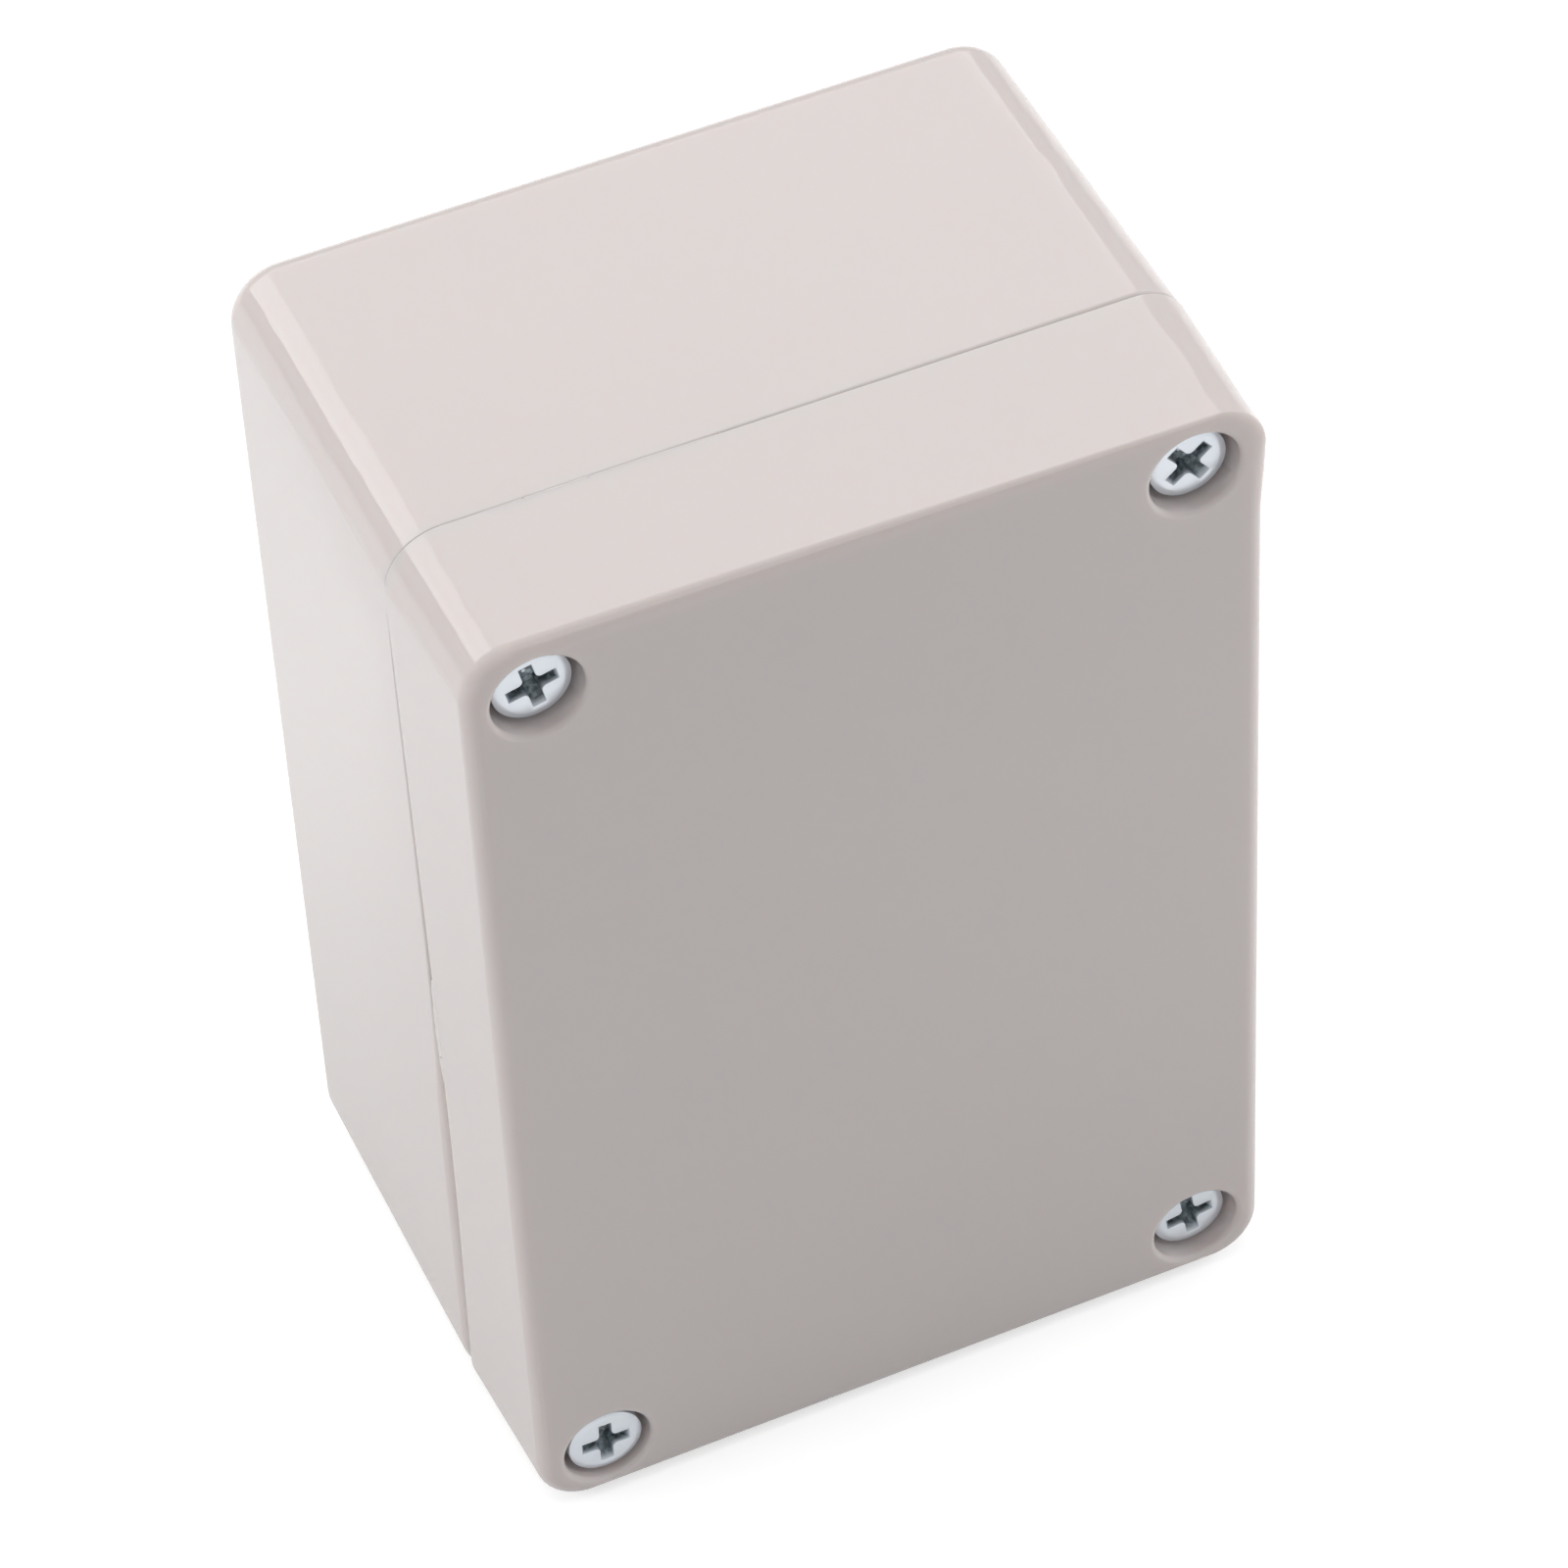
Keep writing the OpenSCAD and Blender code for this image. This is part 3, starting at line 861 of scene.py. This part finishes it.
head_rings = (
    (0.0, 0.0),
    (radius - soft, 0.0),
    (radius, soft),
    (radius, start - 1.6 * soft),
    (radius - 0.3 * soft, start - 0.6 * soft),
    (radius - soft, start),
    (inner + soft, top - 0.4 * soft),
    (inner - soft, top),
    (0.0, top),
)
mesh, ring, turn = flat_grid(screw, len(head_rings), head_segments)
blank = wound(screw, mesh, choose(ring, [r for r, h in head_rings]), turn,
              choose(ring, [h for r, h in head_rings]))
above = 0.3 * MM
bend_steps = 4


def punch_outline(length_share, width_share):
    """The points of a quarter of the cross, as pairs of numbers, with a round inner corner."""
    reach = given["Arm Span"] * (0.5 * length_share)
    half_arm = given["Arm Width"] * (0.5 * width_share)
    bend = given["Inner Radius"] * length_share
    centre = half_arm + bend
    points = [(reach, 0.0), (reach, half_arm)]
    for number in range(bend_steps + 1):
        angle = math.radians(90) * number / bend_steps
        points.append((centre - bend * math.sin(angle), centre - bend * math.cos(angle)))
    points.append((half_arm, reach))
    return points


punch_levels = (
    (0.0, 1.0, -0.12 * MM),
    (0.46, 0.84, 0.0),
    (0.84, 0.92, 0.0),
    (1.06, 1.03, above),
    (0.0, 1.0, above),
)
quarter_points = bend_steps + 4
flat, level, turn = flat_grid(screw, len(punch_levels), 4 * quarter_points)
step = maths("ROUND", turn * (4 * quarter_points))
quarter = maths("FLOOR", step / quarter_points)
point = maths("MODULO", step, quarter_points)
outlines = [punch_outline(length_share, width_share) for length_share, width_share, lift in punch_levels]
across = choose(level, [choose(point, [x for x, y in outline]) for outline in outlines])
sideways = choose(level, [choose(point, [y for x, y in outline]) for outline in outlines])
low_level = top - given["Recess Depth"]
middle_level = top - given["Recess Depth"] * 0.35
bases = (low_level, low_level, middle_level, top, top)
rise = choose(level, [base + lift for base, (a, b, lift) in zip(bases, punch_levels)])
on_axis = add_node(screw, "ShaderNodeCombineXYZ")
spin = add_node(screw, "ShaderNodeCombineXYZ")
turned = add_node(screw, "ShaderNodeVectorRotate", rotation_type="EULER_XYZ")
moved = add_node(screw, "GeometryNodeSetPosition")
welded = add_node(screw, "GeometryNodeMergeByDistance", inputs={"Distance": weld_distance})
punch = add_node(screw, "GeometryNodeFlipFaces")
solid = maths("COMPARE", level, 2, 1.5)
join(across * solid, on_axis.inputs["X"], sideways * solid, on_axis.inputs["Y"], rise, on_axis.inputs["Z"],
     maths("MULTIPLY_ADD", quarter, math.pi / 2, given["Turn"]), spin.inputs["Z"],
     on_axis.outputs[0], turned.inputs["Vector"], spin.outputs[0], turned.inputs["Rotation"],
     turned.outputs[0], moved.inputs["Position"], flat, moved.inputs["Geometry"],
     moved.outputs[0], welded.inputs["Geometry"], welded.outputs[0], punch.inputs[0])
cut = add_node(screw, "GeometryNodeMeshBoolean", operation="DIFFERENCE", solver="EXACT")
join(blank, cut.inputs[0], punch.outputs[0], cut.inputs[1])
place = add_node(screw, "ShaderNodeSeparateXYZ")
join(add_node(screw, "GeometryNodeInputPosition").outputs[0], place.inputs[0])
off_axis = add_node(screw, "ShaderNodeVectorMath", operation="LENGTH")
flat_place = add_node(screw, "ShaderNodeCombineXYZ")
join(place.outputs["X"], flat_place.inputs["X"], place.outputs["Y"], flat_place.inputs["Y"],
     flat_place.outputs[0], off_axis.inputs[0])
recess_share = 0.56
below_top = (top - place.outputs["Z"]) / given["Recess Depth"]
inside = maths("LESS_THAN", off_axis.outputs["Value"], given["Arm Span"] * recess_share)
deep = add_node(screw, "GeometryNodeStoreNamedAttribute", data_type="FLOAT", domain="POINT")
deep.inputs["Name"].default_value = "recess_depth"
join(cut.outputs[0], deep.inputs["Geometry"], inside * below_top, deep.inputs["Value"])
bevel_angle = math.radians(48)
edge_angle = add_node(screw, "GeometryNodeInputMeshEdgeAngle")
marked = add_node(screw, "GeometryNodeStoreNamedAttribute", data_type="FLOAT", domain="EDGE")
marked.inputs["Name"].default_value = "bevel_weight_edge"
join(deep.outputs[0], marked.inputs["Geometry"],
     maths("GREATER_THAN", edge_angle.outputs[0], bevel_angle), marked.inputs["Value"])
into_head = 0.6 * MM
crest = given["Thread Diameter"] * 0.5
shank = threaded_rod(
    screw, Root_Radius=crest - given["Thread Depth"], Crest_Radius=crest, Pitch=given["Pitch"],
    Lower=given["Tip"] - given["Shank Length"], Upper=into_head, Tip=given["Tip"])
both = add_node(screw, "GeometryNodeJoinGeometry")
join(marked.outputs[0], both.inputs[0], shank, both.inputs[0])
stand_up(screw, both.outputs[0], given["Place"], given["Finish"], result[0])
print("trees:", [tree.name for tree in (rod, screw)])


# %% Turn a tree into a plain mesh
def built_piece(name, tree, values, bevel=None, base=None):
    """An object whose mesh the tree made, with outward normals and clean edges."""
    piece = bpy.data.objects.new(name, base or bpy.data.meshes.new(name))
    bpy.context.scene.collection.objects.link(piece)
    modifier = piece.modifiers.new(tree.name, "NODES")
    modifier.node_group = tree
    identifiers = {item.name: item.identifier
                   for item in tree.interface.items_tree if item.in_out == "INPUT"}
    for label, value in values.items():
        modifier[identifiers[label]] = value
    if bevel:
        rounding = piece.modifiers.new("Fine Bevel", "BEVEL")
        rounding.limit_method = "WEIGHT"
        rounding.width = bevel
        rounding.segments = 2
        rounding.use_clamp_overlap = True
    made = bpy.data.meshes.new_from_object(piece.evaluated_get(bpy.context.evaluated_depsgraph_get()))
    piece.modifiers.clear()
    piece.data = made
    made.name = name
    work = bmesh.new()
    work.from_mesh(made)
    bmesh.ops.recalc_face_normals(work, faces=work.faces)
    open_edges = sum(1 for edge in work.edges if len(edge.link_faces) != 2)
    work.to_mesh(made)
    work.free()
    made.shade_smooth()
    made.set_sharp_from_angle(angle=smooth_angle)
    even_shading(piece)
    print(name, "has", len(made.polygons), "faces and", open_edges, "open edges")
    return piece


# %% Flash in two places on the rim of the lid
torn_plastic = finish_with_skin(
    "Torn Plastic", colour=(0.80, 0.76, 0.74), cloud_colour=(0.72, 0.67, 0.65),
    roughness=(0.35, 0.5), bump_mm=0.004, grain_mm=0.15, cloud_mm=0.8, speck_colour=(0.6, 0.56, 0.54),
    **{"IOR": 1.5})
rim_root = seam_y - 0.05 * MM
left_face = lid_low.x + 0.04 * MM
top_face = lid_high.z - 0.04 * MM
slivers = {
    "Left_Flash": ((left_face, rim_root, 53 * MM), (left_face, rim_root, 41 * MM), (0, 0.95 * MM, 0), 9),
    "Top_Flash": ((-26 * MM, rim_root, top_face), (-6 * MM, rim_root, top_face), (0, 0.12 * MM, 0), 12),
}
for number, (name, (start_place, end_place, across_it, bit_count)) in enumerate(slivers.items()):
    piece = built_piece(name, flash, {
        "Start": start_place, "End": end_place, "Across": across_it, "Seed": 3.7 + number,
        "Bits": bit_count, "Finish": torn_plastic})
    for vertex in piece.data.vertices:
        vertex.co.y -= lifted(vertex.co)
    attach(piece, "lid")

# %% The plating
zinc_plating = finish_with_skin(
    "Zinc Plating", colour=(0.90, 0.95, 1.0), cloud_colour=(0.86, 0.92, 0.99),
    roughness=(0.26, 0.36), bump_mm=0.004, grain_mm=0.35, cloud_mm=2.5, speck_colour=(0.35, 0.37, 0.40),
    **{"Metallic": 0.5})
# Painted shade in the recess: a dark colour with lighter streaks, mixed in more strongly with depth.
painted_shade_dark = (0.08, 0.105, 0.12)
painted_shade_streak = (0.40, 0.48, 0.52)
streak_mm = 0.45
tree = zinc_plating.node_tree
depth_shown = add_node(tree, "ShaderNodeAttribute", attribute_name="recess_depth")
shaded = add_node(tree, "ShaderNodeMapRange", inputs={1: 0.06, 2: 0.30, 3: 0.0, 4: 0.92})
where = add_node(tree, "ShaderNodeTexCoord").outputs["Object"]
contrast = add_node(tree, "ShaderNodeMapRange", inputs={1: 0.38, 2: 0.68})
streaked = add_node(tree, "ShaderNodeMix", data_type="RGBA",
                    inputs={6: (*painted_shade_dark, 1), 7: (*painted_shade_streak, 1)})
recess_painted_shade = add_node(tree, "ShaderNodeMix", data_type="RGBA")
base_colour = tree.nodes["Principled BSDF"].inputs["Base Color"]
join(noise(tree, where, streak_mm, 2.0), contrast.inputs[0], contrast.outputs[0], streaked.inputs[0],
     streaked.outputs[2], recess_painted_shade.inputs[7], depth_shown.outputs["Fac"], shaded.inputs[0],
     shaded.outputs[0], recess_painted_shade.inputs[0], base_colour.links[0].from_socket, recess_painted_shade.inputs[6],
     recess_painted_shade.outputs[2], base_colour)

# %% Put a screw in each corner
recess_turns = {"top_left": 13, "top_right": 40, "bottom_left": 0, "bottom_right": 9}
shank_length = 20 * MM
head_share = 1.03
stands_out = {"bottom_left": 0.35 * MM}
for corner, (axis_x, axis_z) in screw_axes.items():
    low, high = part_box("lid_screw_" + corner)
    seat_y = high.y - shank_length
    forward = stands_out.get(corner, 0.0)
    piece = built_piece("Lid_Screw_" + corner, screw, {
        "Head Diameter": head_share * (high.x - low.x), "Head Height": seat_y - low.y,
        "Shank Length": shank_length, "Turn": math.radians(recess_turns[corner]),
        "Place": (axis_x, seat_y - forward, axis_z), "Finish": zinc_plating}, bevel=0.05 * MM)
    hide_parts("lid_screw_" + corner)
    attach(piece, "screw_" + corner)

# %% [markdown]
# ## The brass inserts
#
# Each corner column holds a turned brass insert that was pressed in warm. Two knurled bands hold
# it in the plastic, and its bore is tapped for the screw. The knurl is a wave round two bands of
# the turned form, and the bore is cut by the same threaded rod that shapes the screws, a little
# larger, so that the two threads match.

# %% Tree: a knurled insert
insert, given, result = new_shape_tree("Knurled Insert", {
    "Outer Diameter": ("Float", 5 * MM), "Length": ("Float", 8 * MM), "Chamfer": ("Float", 0.35 * MM),
    "Knurl Depth": ("Float", 0.14 * MM), "Knurl Count": ("Int", 30), "Bore Diameter": ("Float", 3.6 * MM),
    "Thread Depth": ("Float", 0.3 * MM), "Pitch": ("Float", 0.6 * MM),
    "Place": ("Vector", (0, 0, 0)), "Finish": ("Material", None)})
outer = given["Outer Diameter"] * 0.5
groove = outer - 0.35 * MM
narrow = outer - given["Chamfer"]
end_width = 0.2 * MM
end_depth = 0.15 * MM


def along(share):
    """A height at that share of the insert's length."""
    return given["Length"] * share


insert_rings = (
    (0.0, 0.0, 0),
    (narrow, 0.0, 0),
    (outer, given["Chamfer"], 0),
    (outer, along(0.08), 1),
    (outer, along(0.40), 1),
    (outer, along(0.42), 0),
    (groove, along(0.44), 0),
    (groove, along(0.56), 0),
    (outer, along(0.58), 0),
    (outer, along(0.60), 1),
    (outer, along(0.92), 1),
    (outer, along(1) - end_width, 0),
    (outer - end_depth, along(1), 0),
    (0.0, along(1), 0),
)
mesh, ring, turn = flat_grid(insert, len(insert_rings), given["Knurl Count"] * 4)
wave = maths("PINGPONG", turn * given["Knurl Count"], 0.5)
knurled = choose(ring, [float(knurl) for r, h, knurl in insert_rings])
dip = wave * 2 * given["Knurl Depth"] * knurled
body = wound(insert, mesh, choose(ring, [r for r, h, knurl in insert_rings]) - dip, turn,
             choose(ring, [h for r, h, knurl in insert_rings]))
past_end = 0.7 * MM
bore = given["Bore Diameter"] * 0.5
tap = threaded_rod(
    insert, Root_Radius=bore, Crest_Radius=bore + given["Thread Depth"], Pitch=given["Pitch"],
    Lower=-past_end, Upper=given["Length"] + past_end, Tip=0.2 * MM, Segments=40)
tapped = add_node(insert, "GeometryNodeMeshBoolean", operation="DIFFERENCE", solver="EXACT")
join(body, tapped.inputs[0], tap, tapped.inputs[1])
stand_up(insert, tapped.outputs[0], given["Place"], given["Finish"], result[0])

# %% Brass, and an insert in each corner
turned_brass = finish_with_skin(
    "Turned Brass", colour=(0.80, 0.60, 0.28), cloud_colour=(0.70, 0.50, 0.22),
    roughness=(0.22, 0.32), bump_mm=0.003, grain_mm=0.3, cloud_mm=2.0, speck_colour=(0.25, 0.17, 0.08),
    **{"Metallic": 1.0})
for corner, (axis_x, axis_z) in screw_axes.items():
    low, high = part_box("brass_insert_" + corner)
    piece = built_piece("Brass_Insert_" + corner, insert, {
        "Outer Diameter": high.x - low.x, "Length": high.y - low.y,
        "Place": (axis_x, high.y, axis_z), "Finish": turned_brass})
    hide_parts("brass_insert_" + corner)
    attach(piece, "base")

# %% [markdown]
# ## The seal
#
# A moulded rubber ring lies at the bottom of the groove in the lid, where the tongue of the base
# presses into it. It follows the inside of the box, so its path is a cross with round outer
# corners. The piece's own mesh is that path, and the tree sweeps a soft rounded section along it.

# %% Tree: a bead along a path
bead, given, result = new_shape_tree("Rubber Bead", {
    "Width": ("Float", 1.5 * MM), "Thickness": ("Float", 1.4 * MM), "Corner": ("Float", 0.3 * MM),
    "Place": ("Vector", (0, 0, 0)), "Finish": ("Material", None)})
route = add_node(bead, "GeometryNodeMeshToCurve")
upright = add_node(bead, "GeometryNodeSetCurveNormal", mode="Z_UP")
section = add_node(bead, "GeometryNodeCurvePrimitiveQuadrilateral", mode="RECTANGLE")
rounded = add_node(bead, "GeometryNodeFilletCurve", mode="POLY", inputs={"Count": 4})
swept = add_node(bead, "GeometryNodeCurveToMesh")
join(given["Geometry"], route.inputs[0], route.outputs[0], upright.inputs[0],
     given["Width"], section.inputs["Width"], given["Thickness"], section.inputs["Height"],
     section.outputs[0], rounded.inputs[0], given["Corner"], rounded.inputs["Radius"],
     upright.outputs[0], swept.inputs["Curve"], rounded.outputs[0], swept.inputs["Profile Curve"])
stand_up(bead, swept.outputs[0], given["Place"], given["Finish"], result[0])

# %% The path of the seal
rubber = finish_with_skin(
    "Black Rubber", colour=(0.030, 0.030, 0.032), cloud_colour=(0.045, 0.045, 0.047),
    roughness=(0.55, 0.75), bump_mm=0.02, grain_mm=0.4, cloud_mm=6.0, speck_colour=(0.20, 0.19, 0.18),
    **{"IOR": 1.5})
seal_low, seal_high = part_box("lid_seal")
seal_width = 1.5 * MM
cavity_corner = 3.0 * MM
column_reach_x = 9.95 * MM
column_reach_z = 19.85 * MM
half_width = (seal_high.x - seal_low.x - seal_width) / 2
half_height = (seal_high.z - seal_low.z - seal_width) / 2
bend_radius = cavity_corner + 0.65 * MM
corner_steps = 8


def seal_path():
    """The points of the path, once round, through the four arms of the cross."""
    points = []
    for quarter in range(4):
        side, rise = ((1, 1), (-1, 1), (-1, -1), (1, -1))[quarter]
        arm = []
        for centre_x, centre_z in ((half_width - bend_radius, half_height - column_reach_z - bend_radius),
                                   (half_width - column_reach_x - bend_radius, half_height - bend_radius)):
            for number in range(corner_steps + 1):
                angle = math.radians(90) * number / corner_steps
                arm.append((centre_x + bend_radius * math.cos(angle),
                            centre_z + bend_radius * math.sin(angle)))
            if len(arm) == corner_steps + 1:
                arm.append((half_width - column_reach_x, half_height - column_reach_z))
        if side * rise < 0:
            arm.reverse()
        points += [(side * x, rise * z) for x, z in arm]
    return points


path_points = seal_path()
path_mesh = bpy.data.meshes.new("Seal_Path")
count = len(path_points)
path_edges = [(number, (number + 1) % count) for number in range(count)]
path_mesh.from_pydata([(x, z, 0) for x, z in path_points], path_edges, [])
middle_z = (seal_low.z + seal_high.z) / 2
seal = built_piece("Rubber_Seal", bead, {
    "Width": seal_width, "Thickness": seal_high.y - seal_low.y,
    "Place": (0, (seal_low.y + seal_high.y) / 2, middle_z), "Finish": rubber}, base=path_mesh)
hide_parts("lid_seal")
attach(seal, "lid")
